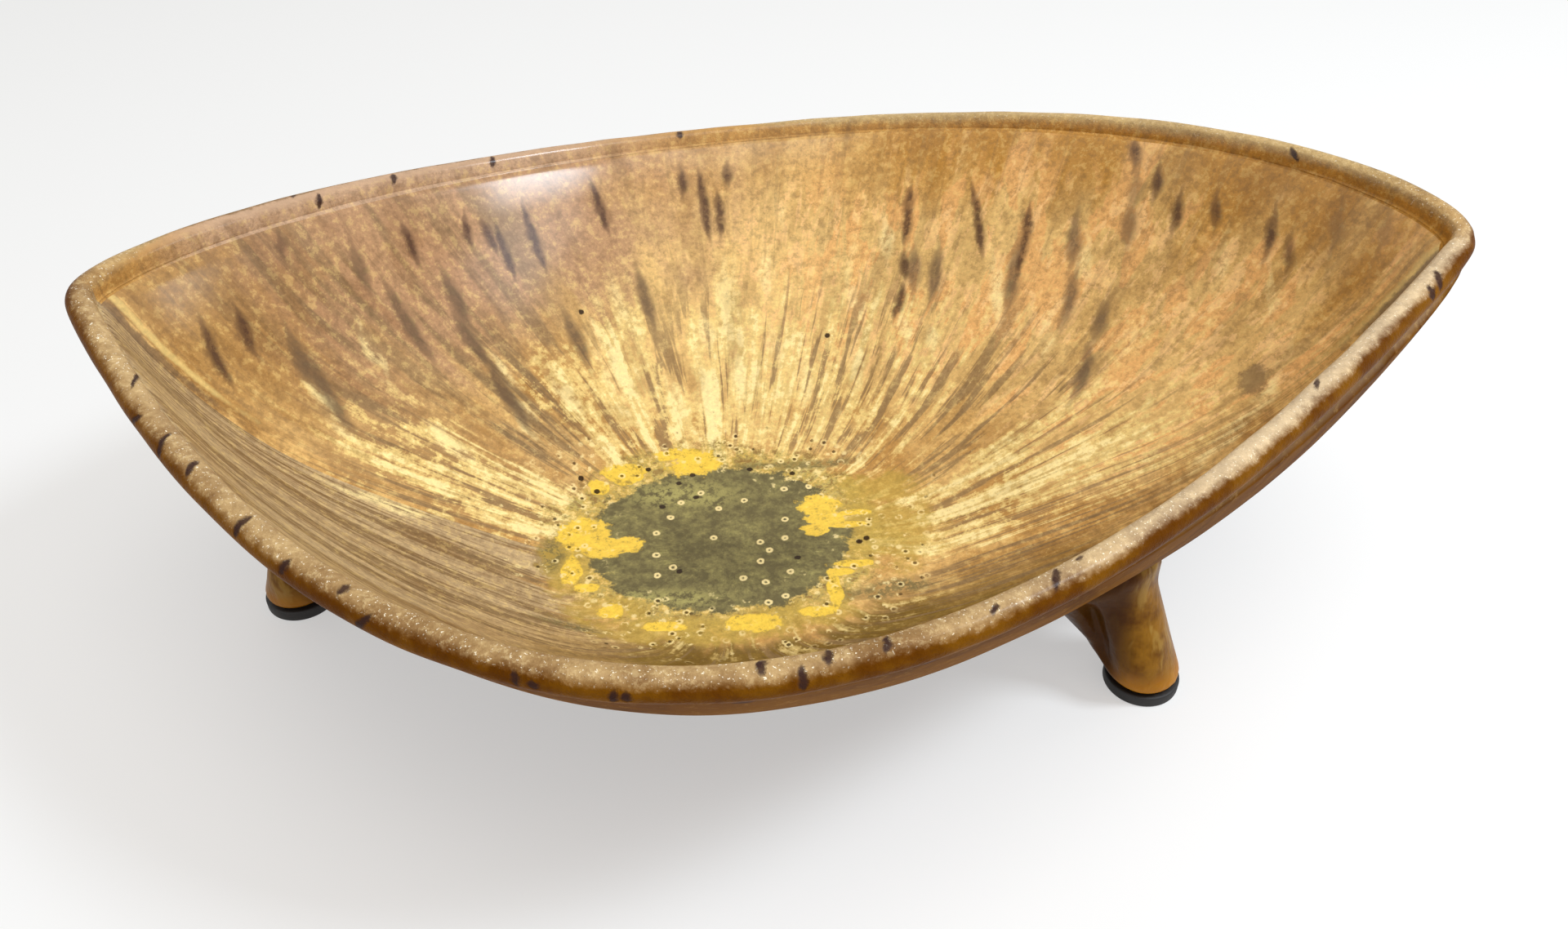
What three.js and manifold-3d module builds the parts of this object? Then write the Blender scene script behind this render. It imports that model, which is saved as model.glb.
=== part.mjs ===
// A leaf-shaped ceramic bowl on three feet. It is built as a potter builds it: a thin clay shell,
// a rolled coil of clay laid along the shell's edge as a bead, three pinched feet luted under the
// shell, and a stick-on pad under each foot.
// Millimetres, +Z up. The long axis runs along X, and the front of the bowl faces -Y.
// The origin is on the table, under the middle of the bowl.

import * as THREE from 'three';
import { mergeVertices } from 'three/addons/utils/BufferGeometryUtils.js';
import Module from 'manifold-3d';

const wasm = await Module();
wasm.setup();

// Outline of the shell's inner edge, seen from above
const edgeHalfLength = 143;   // middle of the bowl to the inside of either tip
const frontBow = 98.5;        // long axis to the inner edge, half way along the front
const backBow = 112.5;        // the same along the back
const frontFullness = 1.33;   // a small number bows the side out early, a large one late
const backFullness = 0.64;
const frontLean = 0.28;       // moves the fullest place of the front side towards the left tip
const leftTipBlunt = 0.13;    // how blunt each tip is: 0 is a point, 1 an ellipse's end
const rightTipBlunt = 0.16;

// Height of the inner edge over the table. A hand-built rim is a saddle that isn't quite even.
const edgeHeight = 77.7;      // half way along the sides
const tipRise = 16.7;         // how much higher the tips are
const rightTipLift = 2.9;     // the right tip stands up by this, the left tip lies down by it
const frontLift = 1.5;        // the front stands up by this, the back lies down by it
const rimTwist = 2.2;         // hand-made warp of the edge: twice round,
const tipWarp = 0.8;          // three times round at the tips,
const sideWarp = 2.1;         // and three times round at the sides

// The well, the level oval floor where the glaze pools
const wellLength = 92;
const wellWidth = 70;
const wellX = -11;
const wellY = -4;
const wellHeight = 19;
const floorThickness = 7;

// The wall between the well and the edge
const wall = 5.2;
const sideStart = 1.35;       // 1 leaves the well at a sharp angle, 2 curls up from the level
const sideCup = 0.12;         // share of the rise that comes late, near the edge
const sideCupPower = 2.4;     // and how late it comes
const tipStart = 1.08;
const tipCup = 0.42;
const tipCupPower = 6;
const frontRightCup = 0.34;    // how much more the front wall is cupped towards the right tip

// The bead, a round coil pressed flat where it sits on the wall's edge
const beadRadius = 3.1;
const beadSeatDepth = 1.3;    // from the coil's centre down to the flat
const seatGap = 0.3;          // clearance at every seat: bead on edge, foot on wall, pad on foot

// The feet, pinched from clay, wider and longer where they meet the wall
const footRadius = 8.6;
const footRound = 2.5;        // rounding of the foot's bottom edge
const footTop = 62;           // height that the uncut foot reaches, inside the shell
const footLean = 0.35;        // how much its outer face comes in for each mm of height
const footFlare = 9;          // how much each side of the foot spreads by its top,
const flareCurve = 3;         // and how late
const webReach = 29;          // how far the web behind a foot has run in under the shell
const webHeight = 25;         // once it is this high over the foot's bottom
const webCurve = 1.5;         // 1 is a straight web, more a hollow one
const webTaper = 0.8;         // 0 is a round web, 1 a sharp one
const leftFootInset = 19;     // inside of the left tip to the foot under it
const leftFootY = 3.4;
const rightFeetInset = 60;    // inside of the right tip to the two feet under it
const rightFeetSpread = 40;   // long axis to each of these two

// The pads
const padRadius = 8.8;
const padThickness = 3;
const padRound = 0.6;

// How finely the curves are cut
const stepsAround = 96;
const beadSteps = 12;
const footSteps = 32;
const padSteps = 40;
const wallSteps = [0, 0.07, 0.16, 0.27, 0.39, 0.51, 0.63, 0.74, 0.84, 0.92, 0.97, 1];
const footRoundSteps = [0, 0.3, 0.65, 1];
const footClimbSteps = [0.16, 0.26, 0.36, 0.46, 0.56, 0.66, 0.76, 0.88, 1];

const fullTurn = 2 * Math.PI;
const mix = (a, b, share) => a + (b - a) * share;

// The inside edge of the shell. turn is 0 at the right tip and a quarter turn at the back.
function edgePoint(turn) {
  const c = Math.cos(turn);
  const s = Math.sin(turn);
  const [bow, fullness, lean] = s < 0
    ? [frontBow, frontFullness, frontLean]
    : [backBow, backFullness, 0];
  const blunt = mix(leftTipBlunt, rightTipBlunt, (1 + c) / 2);
  const reach = blunt + (1 - blunt) * Math.abs(s) ** fullness;
  const saddle = edgeHeight + tipRise * c * c + rightTipLift * c - frontLift * s;
  const warp = rimTwist * Math.sin(2 * turn) - tipWarp * Math.cos(3 * turn)
    + sideWarp * Math.sin(3 * turn);
  return new THREE.Vector3(edgeHalfLength * c, bow * s * reach * (1 - lean * c), saddle + warp);
}

// The rim of the well, at the same turn
function wellPoint(turn) {
  return new THREE.Vector3(
    wellX + wellLength / 2 * Math.cos(turn),
    wellY + wellWidth / 2 * Math.sin(turn),
    wellHeight,
  );
}

// The inner face of the wall: climb is 0 at the well and 1 at the edge
function innerPoint(turn, climb) {
  const well = wellPoint(turn);
  const edge = edgePoint(turn);
  const side = Math.sin(turn) ** 2;
  const frontRight = 2 * Math.max(Math.cos(turn), 0) * Math.max(-Math.sin(turn), 0);
  const cup = mix(tipCup, sideCup, side) + frontRightCup * frontRight;
  const rise = (1 - cup) * climb ** mix(tipStart, sideStart, side)
    + cup * climb ** mix(tipCupPower, sideCupPower, side);
  const point = well.clone().lerp(edge, climb);
  point.z = mix(well.z, edge.z, rise);
  return point;
}

// Two directions square to the edge at a place on the wall: out through it, and up along it
function wallFrame(turn, climb) {
  const nudge = 1e-3;
  const low = Math.max(climb - nudge, 0);
  const up = innerPoint(turn, low + 2 * nudge).sub(innerPoint(turn, low));
  const along = innerPoint(turn + nudge, climb).sub(innerPoint(turn - nudge, climb)).normalize();
  up.addScaledVector(along, -up.dot(along)).normalize();
  const out = up.clone().cross(along).negate().normalize();
  return { out, up };
}

function outerPoint(turn, climb, thickness) {
  return innerPoint(turn, climb).addScaledVector(wallFrame(turn, climb).out, thickness);
}

const turns = Array.from({ length: stepsAround }, (_, i) => fullTurn * i / stepsAround);

// The bowl's middle from front to back, over the bead
function findMiddleY() {
  const reach = turns.map((turn) => beadCentre(turn).centre.y);
  return (Math.min(...reach) + Math.max(...reach)) / 2;
}

// A closed skin over rings of points, with a pole at each end or joined end to end
function skin(rings, poles) {
  const around = rings[0].length;
  const positions = rings.flat().concat(poles ?? []);
  const faces = [];
  const ringCount = rings.length;
  const bands = poles ? ringCount - 1 : ringCount;
  for (let r = 0; r < bands; r += 1) {
    const here = r * around;
    const next = ((r + 1) % ringCount) * around;
    for (let i = 0; i < around; i += 1) {
      const j = (i + 1) % around;
      faces.push(here + i, next + j, here + j, here + i, next + i, next + j);
    }
  }
  if (poles) {
    const first = ringCount * around;
    const lastRing = first - around;
    for (let i = 0; i < around; i += 1) {
      const j = (i + 1) % around;
      faces.push(first, i, j, first + 1, lastRing + j, lastRing + i);
    }
  }
  const geometry = new THREE.BufferGeometry();
  geometry.setAttribute('position', new THREE.Float32BufferAttribute(
    positions.flatMap((p) => [p.x, p.y, p.z]), 3));
  geometry.setIndex(faces);
  return geometry;
}

function toManifold(geometry) {
  const shared = mergeVertices(geometry, 1e-4);
  return new wasm.Manifold(new wasm.Mesh({
    numProp: 3,
    vertProperties: new Float32Array(shared.attributes.position.array),
    triVerts: new Uint32Array(shared.index.array),
  }));
}

function fromManifold(solid) {
  const mesh = solid.getMesh();
  const geometry = new THREE.BufferGeometry();
  geometry.setAttribute('position', new THREE.BufferAttribute(mesh.vertProperties, 3));
  geometry.setIndex(new THREE.BufferAttribute(mesh.triVerts, 1));
  return geometry;
}

// The shell: down the inner face, across the edge, and back along the outer face
function bowlBody() {
  const inner = wallSteps.map((climb) => turns.map((turn) => innerPoint(turn, climb)));
  const outer = wallSteps.map((climb) => turns.map((turn) => outerPoint(turn, climb, wall)));
  const floorTop = new THREE.Vector3(wellX, wellY, wellHeight);
  const floorBottom = new THREE.Vector3(wellX, wellY, wellHeight - floorThickness);
  return skin([...inner, ...outer.reverse()], [floorTop, floorBottom]);
}

// Where the coil's centre lies over the middle of the wall's edge
function beadCentre(turn) {
  const { out, up } = wallFrame(turn, 1);
  const centre = innerPoint(turn, 1)
    .addScaledVector(out, wall / 2)
    .addScaledVector(up, seatGap + beadSeatDepth);
  return { centre, out, up };
}

// The coil's section is a circle with its foot cut off, carried once round the edge
function rimBead() {
  const seatAngle = Math.asin(beadSeatDepth / beadRadius);
  const sections = turns.map((turn) => {
    const { centre, out, up } = beadCentre(turn);
    return Array.from({ length: beadSteps + 1 }, (_, i) => {
      const angle = mix(-seatAngle, Math.PI + seatAngle, i / beadSteps);
      return centre.clone()
        .addScaledVector(out, beadRadius * Math.cos(angle))
        .addScaledVector(up, beadRadius * Math.sin(angle));
    });
  });
  return skin(sections);
}

// The space that the shell fills, its hollow included, with the seat's clearance round it
function shellEnvelope() {
  const rings = wallSteps.map((climb) => turns.map((turn) => outerPoint(turn, climb, wall + seatGap)));
  const bottom = new THREE.Vector3(wellX, wellY, wellHeight - floorThickness - seatGap);
  const top = new THREE.Vector3(wellX, wellY, edgeHeight);
  return toManifold(skin(rings.reverse(), [top, bottom]));
}

// A foot that points away from the well, drawn tall and cut to the shell
function foot(x, y, envelope) {
  const outward = new THREE.Vector3(x - wellX, y - wellY, 0).normalize();
  const across = new THREE.Vector3(outward.y, -outward.x, 0);
  const bottom = padThickness + seatGap;
  const height = footTop - bottom;
  const levels = footRoundSteps.map((share) => footRound * share)
    .concat(footClimbSteps.map((share) => height * share));
  const rings = levels.map((level) => {
    const inset = level < footRound
      ? footRound - Math.sqrt(footRound ** 2 - (footRound - level) ** 2)
      : 0;
    const radius = footRadius - inset;
    const lean = footLean * level;
    const web = webReach * (level / webHeight) ** webCurve;
    const half = radius + footFlare * (level / height) ** flareCurve;
    return Array.from({ length: footSteps }, (_, i) => {
      const angle = fullTurn * i / footSteps;
      const c = Math.cos(angle);
      const s = Math.sin(angle);
      const taper = c < 0 ? Math.abs(s) ** (webTaper * Math.min(web / radius, 1)) : 1;
      const depth = c < 0 ? radius + web - lean : radius;
      return new THREE.Vector3(x, y, bottom + level)
        .addScaledVector(outward, depth * c - lean)
        .addScaledVector(across, half * s * taper);
    });
  });
  const middle = (ring) => ring.reduce((sum, p) => sum.add(p), new THREE.Vector3())
    .divideScalar(ring.length);
  const solid = toManifold(skin(rings, [middle(rings[0]), middle(rings.at(-1))]));
  return fromManifold(solid.subtract(envelope));
}

function pad() {
  const corner = padRound * Math.SQRT1_2;
  const profile = [
    [0, 0],
    [padRadius - padRound, 0],
    [padRadius - padRound + corner, padRound - corner],
    [padRadius, padRound],
    [padRadius, padThickness - padRound],
    [padRadius - padRound + corner, padThickness - padRound + corner],
    [padRadius - padRound, padThickness],
    [0, padThickness],
  ].map(([r, z]) => new THREE.Vector2(r, z));
  return new THREE.LatheGeometry(profile, padSteps).rotateX(Math.PI / 2);
}

const glaze = new THREE.MeshStandardMaterial({ color: 0xb08a45, roughness: 0.35, metalness: 0 });
const rimGlaze = new THREE.MeshStandardMaterial({ color: 0xc9a877, roughness: 0.6, metalness: 0 });
const footGlaze = new THREE.MeshStandardMaterial({ color: 0xa9781f, roughness: 0.2, metalness: 0 });
const padRubber = new THREE.MeshStandardMaterial({ color: 0x0c0b0b, roughness: 0.8, metalness: 0 });

const bowl = new THREE.Group();
bowl.position.y = -findMiddleY();

function add(name, geometry, material, x = 0, y = 0) {
  const mesh = new THREE.Mesh(geometry, material);
  mesh.name = name;
  mesh.position.set(x, y, 0);
  bowl.add(mesh);
}

add('bowl_body', bowlBody(), glaze);
add('rim_bead', rimBead(), rimGlaze);

const rightFeetX = edgeHalfLength - rightFeetInset;
const feet = [
  ['left_tip', leftFootInset - edgeHalfLength, leftFootY],
  ['right_front', rightFeetX, leftFootY - rightFeetSpread],
  ['right_back', rightFeetX, leftFootY + rightFeetSpread],
];
const envelope = shellEnvelope();
for (const [place, x, y] of feet) {
  add(`foot_${place}`, foot(x, y, envelope), footGlaze);
  add(`pad_${place}`, pad(), padRubber, x, y);
}

export default bowl;
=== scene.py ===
# %% [markdown]
# # A leaf-shaped tripod bowl in a runny ochre glaze
# The bowl is a thin stoneware shell with a rolled rim, three pinched feet and a stick-on pad under
# each foot. The imported model holds these eight pieces as plain solids. Here each becomes a finished
# piece: the clay ones smooth, a little uneven and glazed, the pads plain rubber. No finished piece
# may be larger.

import math

import bpy
import numpy as np
from mathutils import Matrix, Vector, noise
from mathutils.bvhtree import BVHTree
from mathutils.kdtree import KDTree


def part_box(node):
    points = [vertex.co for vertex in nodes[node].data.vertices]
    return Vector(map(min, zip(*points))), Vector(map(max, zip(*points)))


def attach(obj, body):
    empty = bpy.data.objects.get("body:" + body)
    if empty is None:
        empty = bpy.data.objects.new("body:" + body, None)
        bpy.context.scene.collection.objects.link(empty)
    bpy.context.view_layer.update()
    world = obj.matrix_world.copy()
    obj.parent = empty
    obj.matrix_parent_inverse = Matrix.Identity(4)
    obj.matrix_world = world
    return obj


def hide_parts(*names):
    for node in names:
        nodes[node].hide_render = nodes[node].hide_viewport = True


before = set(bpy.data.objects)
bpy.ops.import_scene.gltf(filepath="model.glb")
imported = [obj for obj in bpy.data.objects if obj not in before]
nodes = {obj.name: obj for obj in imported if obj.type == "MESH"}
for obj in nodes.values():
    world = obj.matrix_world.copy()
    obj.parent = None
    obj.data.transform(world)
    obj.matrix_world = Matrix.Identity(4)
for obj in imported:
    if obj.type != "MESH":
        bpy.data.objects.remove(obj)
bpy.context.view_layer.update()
mm = 0.001
print("pieces in the packed model:", sorted(nodes))

# %% [markdown]
# ## The camera
# The photograph was taken close by, from the front and well above the rim. Fitting a pinhole camera
# to the rim, the well and the feet gave its focal length, distance and angles. The same axes turn a
# place in the photograph into a line of sight, which later puts the drips where they belong.

# %% Camera
photo_width, photo_height = 1920, 1138
focal_length = 1509.76            # in pixels of the photograph
aim = Vector((0.59, 7.05, 30)) * mm
distance = 311.87 * mm
elevation, azimuth, roll = (math.radians(a) for a in (38.82, -3.02, -0.26))
sensor_width, nearest_seen = 36, 0.01      # in mm and in metres

axes = (Matrix.Rotation(azimuth, 3, "Z") @ Matrix.Rotation(math.pi / 2 - elevation, 3, "X")
        @ Matrix.Rotation(roll, 3, "Z"))
eye = aim + axes.col[2] * distance
camera = bpy.data.objects.new("camera", bpy.data.cameras.new("camera"))
bpy.context.scene.collection.objects.link(camera)
bpy.context.scene.camera = camera
camera.data.sensor_width = sensor_width
camera.data.lens = focal_length / photo_width * sensor_width
camera.data.clip_start = nearest_seen
camera.matrix_world = Matrix.Translation(eye) @ axes.to_4x4()


def line_of_sight(x, y):
    """The direction from the camera through a place in the photograph."""
    across, down = x - photo_width / 2, y - photo_height / 2
    return (axes @ Vector((across, -down, -focal_length))).normalized()


print(f"camera {camera.data.lens:.2f} mm, at {[round(v, 4) for v in eye]}")

# %% [markdown]
# ## Shader maths that reads as maths
# A glaze is mostly sums: this streak times that mask, one minus the other. In Blender each of those
# is a Math node, so a small class wraps a socket and adds the node when Python sees an operator.
# One method makes every other kind of node, with its settings first and its sockets after.

# %% Wrap a socket, and make a node
class Value:
    """What comes out of a node, ready to be used in a sum."""

    def __init__(self, finish, output):
        self.finish, self.output = finish, output

    def maths(self, operation, *values):
        return self.finish.node("Math", {"operation": operation}, dict(enumerate(values)))

    def __add__(self, other): return self.maths("ADD", self, other)
    def __sub__(self, other): return self.maths("SUBTRACT", self, other)
    def __mul__(self, other): return self.maths("MULTIPLY", self, other)
    def __truediv__(self, other): return self.maths("DIVIDE", self, other)
    def __rsub__(self, other): return self.maths("SUBTRACT", other, self)
    def __abs__(self): return self.maths("ABSOLUTE", self)
    __radd__, __rmul__ = __add__, __mul__

    def clamp(self): return self.maths("MINIMUM", self.maths("MAXIMUM", self, 0.0), 1.0)
    def below(self, other): return self.maths("MINIMUM", self, other)
    def above(self, other): return self.maths("MAXIMUM", self, other)

    def ease(self, start, end):
        """0 before start and 1 after end, with a soft S between. start may be the larger."""
        return self.finish.node("MapRange", {"interpolation_type": "SMOOTHSTEP"},
                                {"Value": self, "From Min": start, "From Max": end})

    def band(self, start, full, fading, end):
        """0 outside start and end, and 1 from full to fading."""
        return self.ease(start, full) * self.ease(end, fading)


class Finish:
    """A material or a world, the nodes that make it, and the colour laid on it so far."""

    def __init__(self, name, kind=bpy.data.materials):
        self.material = kind.new(name)
        self.material.use_nodes = True
        self.tree = self.material.node_tree
        self.shader = self.tree.nodes.get("Principled BSDF")
        self.colour = None

    def node(self, kind, settings=None, sockets=None, output=0):
        made = self.tree.nodes.new("ShaderNode" + kind)
        for name, value in (settings or {}).items():
            if name == "stops":
                set_stops(made.color_ramp, value)
            else:
                setattr(made, name, value)
        self.connect(made, sockets or {})
        return Value(self, made.outputs[output])

    def connect(self, node, sockets):
        for name, value in sockets.items():
            if isinstance(value, Value):
                self.tree.links.new(value.output, node.inputs[name])
            else:
                node.inputs[name].default_value = value

    def other(self, value, output):
        """Another socket of the node that value came from."""
        return Value(self, value.output.node.outputs[output])

    def place(self):
        return self.node("TexCoord", output="Object")

    def attribute(self, name, output):
        """What a vertex stores under a name: a "Vector", or a number as "Fac"."""
        return self.node("Attribute", {"attribute_name": name}, output=output)

    def noise(self, vector, scale, detail, roughness, distortion=0.0):
        return self.node("TexNoise", None, {"Vector": vector, "Scale": scale, "Detail": detail,
                                            "Roughness": roughness, "Distortion": distortion})

    def stretch(self, vector, *factors):
        return self.node("VectorMath", {"operation": "MULTIPLY"}, {0: vector, 1: factors})

    def mix(self, share, under, over):
        """One colour over another. A Mix node's colours are its inputs 6 and 7, and output 2."""
        return self.node("Mix", {"data_type": "RGBA", "clamp_factor": True},
                         {0: share, 6: under, 7: over}, output=2)

    def lay(self, share, over):
        """Lays a colour over the colour so far."""
        self.colour = self.mix(share, self.colour, over)

    def shade(self, factor):
        """Makes the colour so far lighter or darker."""
        self.colour = self.node("VectorMath", {"operation": "SCALE"},
                                {0: self.colour, "Scale": factor})

    def parts(self, vector):
        x = self.node("SeparateXYZ", None, {0: vector})
        return x, self.other(x, 1), self.other(x, 2)

    def bump(self, height, depth):
        return self.node("Bump", None, {"Height": height, "Distance": depth})

    def finish(self, **sockets):
        """Connects the colour and the sockets given to the shader, and returns the material."""
        sockets = {name.replace("_", " "): value for name, value in sockets.items()}
        self.connect(self.shader, {"Base Color": self.colour, **sockets})
        return self.material


def set_stops(ramp, stops):
    """Fills a colour ramp with (position, colour) stops."""
    ramp.interpolation = "CONSTANT"
    while len(ramp.elements) > 1:
        ramp.elements.remove(ramp.elements[-1])
    ramp.elements[0].position, ramp.elements[0].color = stops[0]
    for position, colour in stops[1:]:
        ramp.elements.new(position).color = colour


def paint(*colour):
    """A colour from 0 to 255, as a paint program gives it, in a shader's linear light."""
    return (*(c / 255 / 12.92 if c <= 10 else ((c / 255 + 0.055) / 1.055) ** 2.4
              for c in colour), 1)


print("a middle grey in linear light:", round(paint(128, 128, 128)[0], 3))

# %% [markdown]
# ## Floor and light
# Soft lamps and a pale world give the glaze long soft highlights, at a level where a colour renders
# about as it is written. What the camera sees, straight or mirrored, is a whiter floor and a plain
# white world, through the Light Path node. The light that falls on the bowl stays soft.

# %% Floor, world and lamps
def seen_rays(finish):
    """1 for what the camera sees straight, in a mirror or through glass, and 0 for light."""
    seen = path = finish.node("LightPath")
    for ray in ("Is Glossy Ray", "Is Transmission Ray"):
        seen = seen.above(finish.other(path, ray))
    return seen


floor_size, floor_white = 6, 0.45
world_warmth, world_strength = (1, 0.985, 0.96, 1), 0.42
white = (1, 1, 1, 1)

bpy.context.scene.view_settings.view_transform = "Standard"
bpy.ops.object.select_all(action="DESELECT")
bpy.ops.mesh.primitive_plane_add(size=floor_size, location=(0, 0, 0))
floor = bpy.context.object
floor.name = "floor"
pale = Finish("pale_floor")
paper = pale.node("BsdfDiffuse", None, {"Color": paint(246, 245, 243)})
glow = pale.node("Emission", None, {"Color": white, "Strength": 1.0})
mixed = pale.node("MixShader", None, {0: seen_rays(pale) * floor_white, 1: paper, 2: glow})
pale.connect(pale.tree.nodes["Material Output"], {"Surface": mixed})
floor.data.materials.append(pale.material)

studio = Finish("studio", bpy.data.worlds)
bpy.context.scene.world = studio.material
soft = studio.node("Background", None, {"Color": world_warmth, "Strength": world_strength})
plain = studio.node("Background", None, {"Color": white, "Strength": 1.0})
mixed = studio.node("MixShader", None, {0: seen_rays(studio), 1: soft, 2: plain})
studio.connect(studio.tree.nodes["World Output"], {"Surface": mixed})

middle_of_bowl = Vector((0, 0, 0.04))
for name, position, size, power, tint in (
        ("window", (0.68, -0.20, 0.95), 0.25, 7.5, (0.82, 0.91, 1)),
        ("low window", (1.02, 0.23, 0.31), 0.15, 0.5, (0.84, 0.92, 1)),
        ("ceiling", (0.10, -0.40, 1.4), 1.0, 8.5, (1, 0.97, 0.93))):
    lamp = bpy.data.objects.new(name, bpy.data.lights.new(name, "AREA"))
    bpy.context.scene.collection.objects.link(lamp)
    lamp.data.size, lamp.data.energy, lamp.data.color = size, power, tint
    lamp.location = position
    towards = middle_of_bowl - Vector(position)
    lamp.rotation_euler = towards.to_track_quat("-Z", "Y").to_euler()

# %% [markdown]
# ## Where a place lies on the wall
# Glaze runs down from the rim to the well, so its streaks follow the wall and not the room. Two
# numbers say where a place lies on it: the turn round the bowl, 0 at the right tip and a quarter at
# the back, and the climb, 0 at the well and 1 at the edge. Both outlines are the ones that the
# solid was drawn from, and the wall lies on straight lines between their points of one turn, seen
# from above. We find turn and climb from the nearest known place, by a few steps of Newton's
# method.

# %% Outlines of the edge and the well
middle_y = -6.087 * mm
edge_half_length = 143 * mm
front_bow, front_fullness, front_lean = 98.5 * mm, 1.33, 0.28
back_bow, back_fullness = 112.5 * mm, 0.64
left_tip_blunt, right_tip_blunt = 0.13, 0.16
well_x, well_y = -11 * mm, middle_y - 4 * mm
well_half_length, well_half_width = 46 * mm, 35 * mm
well_height = 19 * mm
edge_height, tip_rise, right_tip_lift, front_lift = 77.7 * mm, 16.7 * mm, 2.9 * mm, 1.5 * mm
rim_twist, tip_warp, side_warp = 2.2 * mm, 0.8 * mm, 2.1 * mm


def edge_outline(turn):
    c, s = np.cos(turn), np.sin(turn)
    front = s < 0
    bow = np.where(front, front_bow, back_bow)
    fullness = np.where(front, front_fullness, back_fullness)
    lean = np.where(front, front_lean, 0)
    blunt = left_tip_blunt + (right_tip_blunt - left_tip_blunt) * (1 + c) / 2
    reach = blunt + (1 - blunt) * np.abs(s) ** fullness
    return np.stack([edge_half_length * c, bow * s * reach * (1 - lean * c) + middle_y], -1)


def well_outline(turn):
    return np.stack([well_x + well_half_length * np.cos(turn),
                     well_y + well_half_width * np.sin(turn)], -1)


def edge_in_space(turn):
    c, s = np.cos(turn), np.sin(turn)
    saddle = edge_height + tip_rise * c * c + right_tip_lift * c - front_lift * s
    warp = (rim_twist * np.sin(2 * turn) - tip_warp * np.cos(3 * turn)
            + side_warp * np.sin(3 * turn))
    return np.concatenate([edge_outline(turn), (saddle + warp)[:, None]], 1)


def wall_plan(turn, climb):
    well, edge = well_outline(turn), edge_outline(turn)
    return well + (edge - well) * climb[..., None]


turn_steps, climb_steps, highest_climb = 720, 45, 1.1
newton_steps, newton_nudge = 6, 1e-5


def tree_of(points):
    tree = KDTree(len(points))
    for i, point in enumerate(points):
        tree.insert(point, i)
    tree.balance()
    return tree


known_turns, known_climbs = (grid.ravel() for grid in np.meshgrid(
    np.linspace(0, 2 * math.pi, turn_steps, endpoint=False),
    np.linspace(0, highest_climb, climb_steps)))
known_places = tree_of([(x, y, 0) for x, y in wall_plan(known_turns, known_climbs)])


def place_on_wall(points):
    """The turn, the climb, and the metres that one whole turn spans at that climb.

    In the well the climb falls from 0 at its edge to -1 in its middle.
    """
    points = np.asarray(points, float)[:, :2]
    nearest = [known_places.find((x, y, 0))[1] for x, y in points]
    turn, climb = known_turns[nearest], known_climbs[nearest]
    for _ in range(newton_steps):
        here = wall_plan(turn, climb)
        by_turn = (wall_plan(turn + newton_nudge, climb) - here) / newton_nudge
        by_climb = (wall_plan(turn, climb + newton_nudge) - here) / newton_nudge
        miss = points - here
        area = by_turn[:, 0] * by_climb[:, 1] - by_turn[:, 1] * by_climb[:, 0]
        turn = turn + (miss[:, 0] * by_climb[:, 1] - miss[:, 1] * by_climb[:, 0]) / area
        climb = climb + (by_turn[:, 0] * miss[:, 1] - by_turn[:, 1] * miss[:, 0]) / area
    span = 2 * math.pi * np.abs(area) / np.linalg.norm(by_climb, axis=1)
    from_middle = (points - (well_x, well_y)) / (well_half_length, well_half_width)
    radius = np.linalg.norm(from_middle, axis=1)
    inside = radius < 1
    turn[inside] = np.arctan2(from_middle[inside, 1], from_middle[inside, 0])
    climb[inside] = radius[inside] - 1
    span[inside] = 2 * math.pi * well_half_width * radius[inside]
    return turn, climb, span


example = place_on_wall([(0, 0.08), (-0.1, -0.02), (well_x, well_y)])
print("turns", np.degrees(example[0]).round(1), "climbs", example[1].round(2))

# %% [markdown]
# ## Tools for clay
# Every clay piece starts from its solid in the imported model. A node's mesh is loose triangles, so
# the copy is merged, its triangles are joined into quads, and a modifier makes it smooth.
# Smooth noise of a fraction of a millimetre takes away the machine's evenness. The numbers that a
# glaze needs are stored on each vertex.

# %% Copy, smooth and uneven
def select_only(piece):
    if bpy.context.object and bpy.context.object.mode != "OBJECT":
        bpy.ops.object.mode_set(mode="OBJECT")
    bpy.ops.object.select_all(action="DESELECT")
    piece.select_set(True)
    bpy.context.view_layer.objects.active = piece


def copy_of_node(node, name):
    piece = bpy.data.objects.new(name, nodes[node].data.copy())
    bpy.context.scene.collection.objects.link(piece)
    piece.data.materials.clear()
    select_only(piece)
    bpy.ops.mesh.customdata_custom_splitnormals_clear()
    bpy.ops.object.mode_set(mode="EDIT")
    bpy.ops.mesh.select_all(action="SELECT")
    bpy.ops.mesh.remove_doubles(threshold=0.002 * mm)
    bpy.ops.mesh.tris_convert_to_quads(face_threshold=math.radians(60),
                                       shape_threshold=math.radians(70))
    bpy.ops.object.mode_set(mode="OBJECT")
    bpy.ops.object.shade_smooth()
    return piece


def modify(piece, kind, **settings):
    """Adds a modifier and applies it."""
    select_only(piece)
    modifier = piece.modifiers.new(kind.lower(), kind)
    for name, value in settings.items():
        setattr(modifier, name, value)
    bpy.ops.object.modifier_apply(modifier=modifier.name)


def vertices_of(piece, what="co"):
    """The place of each vertex, or its "normal"."""
    values = np.empty(len(piece.data.vertices) * 3)
    piece.data.vertices.foreach_get(what, values)
    return values.reshape(-1, 3)


def move_vertices(piece, places):
    piece.data.vertices.foreach_set("co", np.asarray(places, float).ravel())
    piece.data.update()


def uneven(places, feature):
    """Smooth noise from -1 to 1 at each place. feature is the size of its bumps."""
    return np.array([noise.noise(Vector(p) / feature) for p in places])


def ease(values, start, end):
    share = np.clip((values - start) / (end - start), 0, 1)
    return share * share * (3 - 2 * share)


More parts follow.
